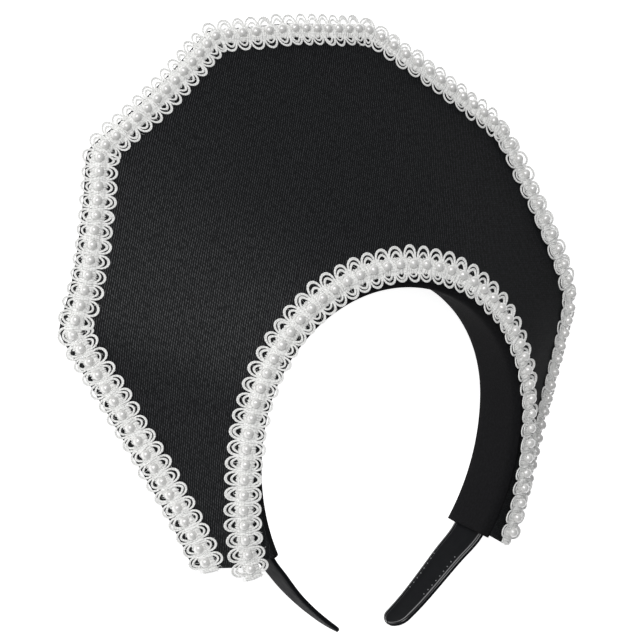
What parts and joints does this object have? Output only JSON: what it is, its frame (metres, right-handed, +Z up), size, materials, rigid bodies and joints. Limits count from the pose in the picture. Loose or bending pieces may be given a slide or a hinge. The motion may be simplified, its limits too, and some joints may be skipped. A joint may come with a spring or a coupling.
{
  "type": "fan-shaped crown headpiece on a headband",
  "caption": "Stiff cloth-covered fan headpiece on a plastic headband, edged along its rim and head arch with pearl braid.",
  "frame": {"origin": "middle of the floor that it lies on, under the middle of its outer box, with the fan's top corners and the headband's tips on the floor", "axes": "+Z up out of the floor, out of the fan's face; +Y along the floor towards the fan's top rim, -Y towards the headband's tips; +X towards the wearer's left. Seen worn, up is mostly +Y and the back of the head is mostly -Z"},
  "size_m": [0.2423, 0.245, 0.0695],
  "materials": {
    "band_plastic": "glossy black moulded plastic",
    "cover_cloth": "plain black cloth, matt",
    "fan_cloth": "black fine twill, matt with a faint sheen",
    "pearl_braid": "white fuzzy braid with satin white pearls"
  },
  "bodies": {
    "root": {"headband": "band_plastic", "band_cover": "cover_cloth", "fan_panel": "fan_cloth", "outer_pearl_braid": "pearl_braid", "arch_pearl_braid": "pearl_braid"}
  },
  "joints": []
}
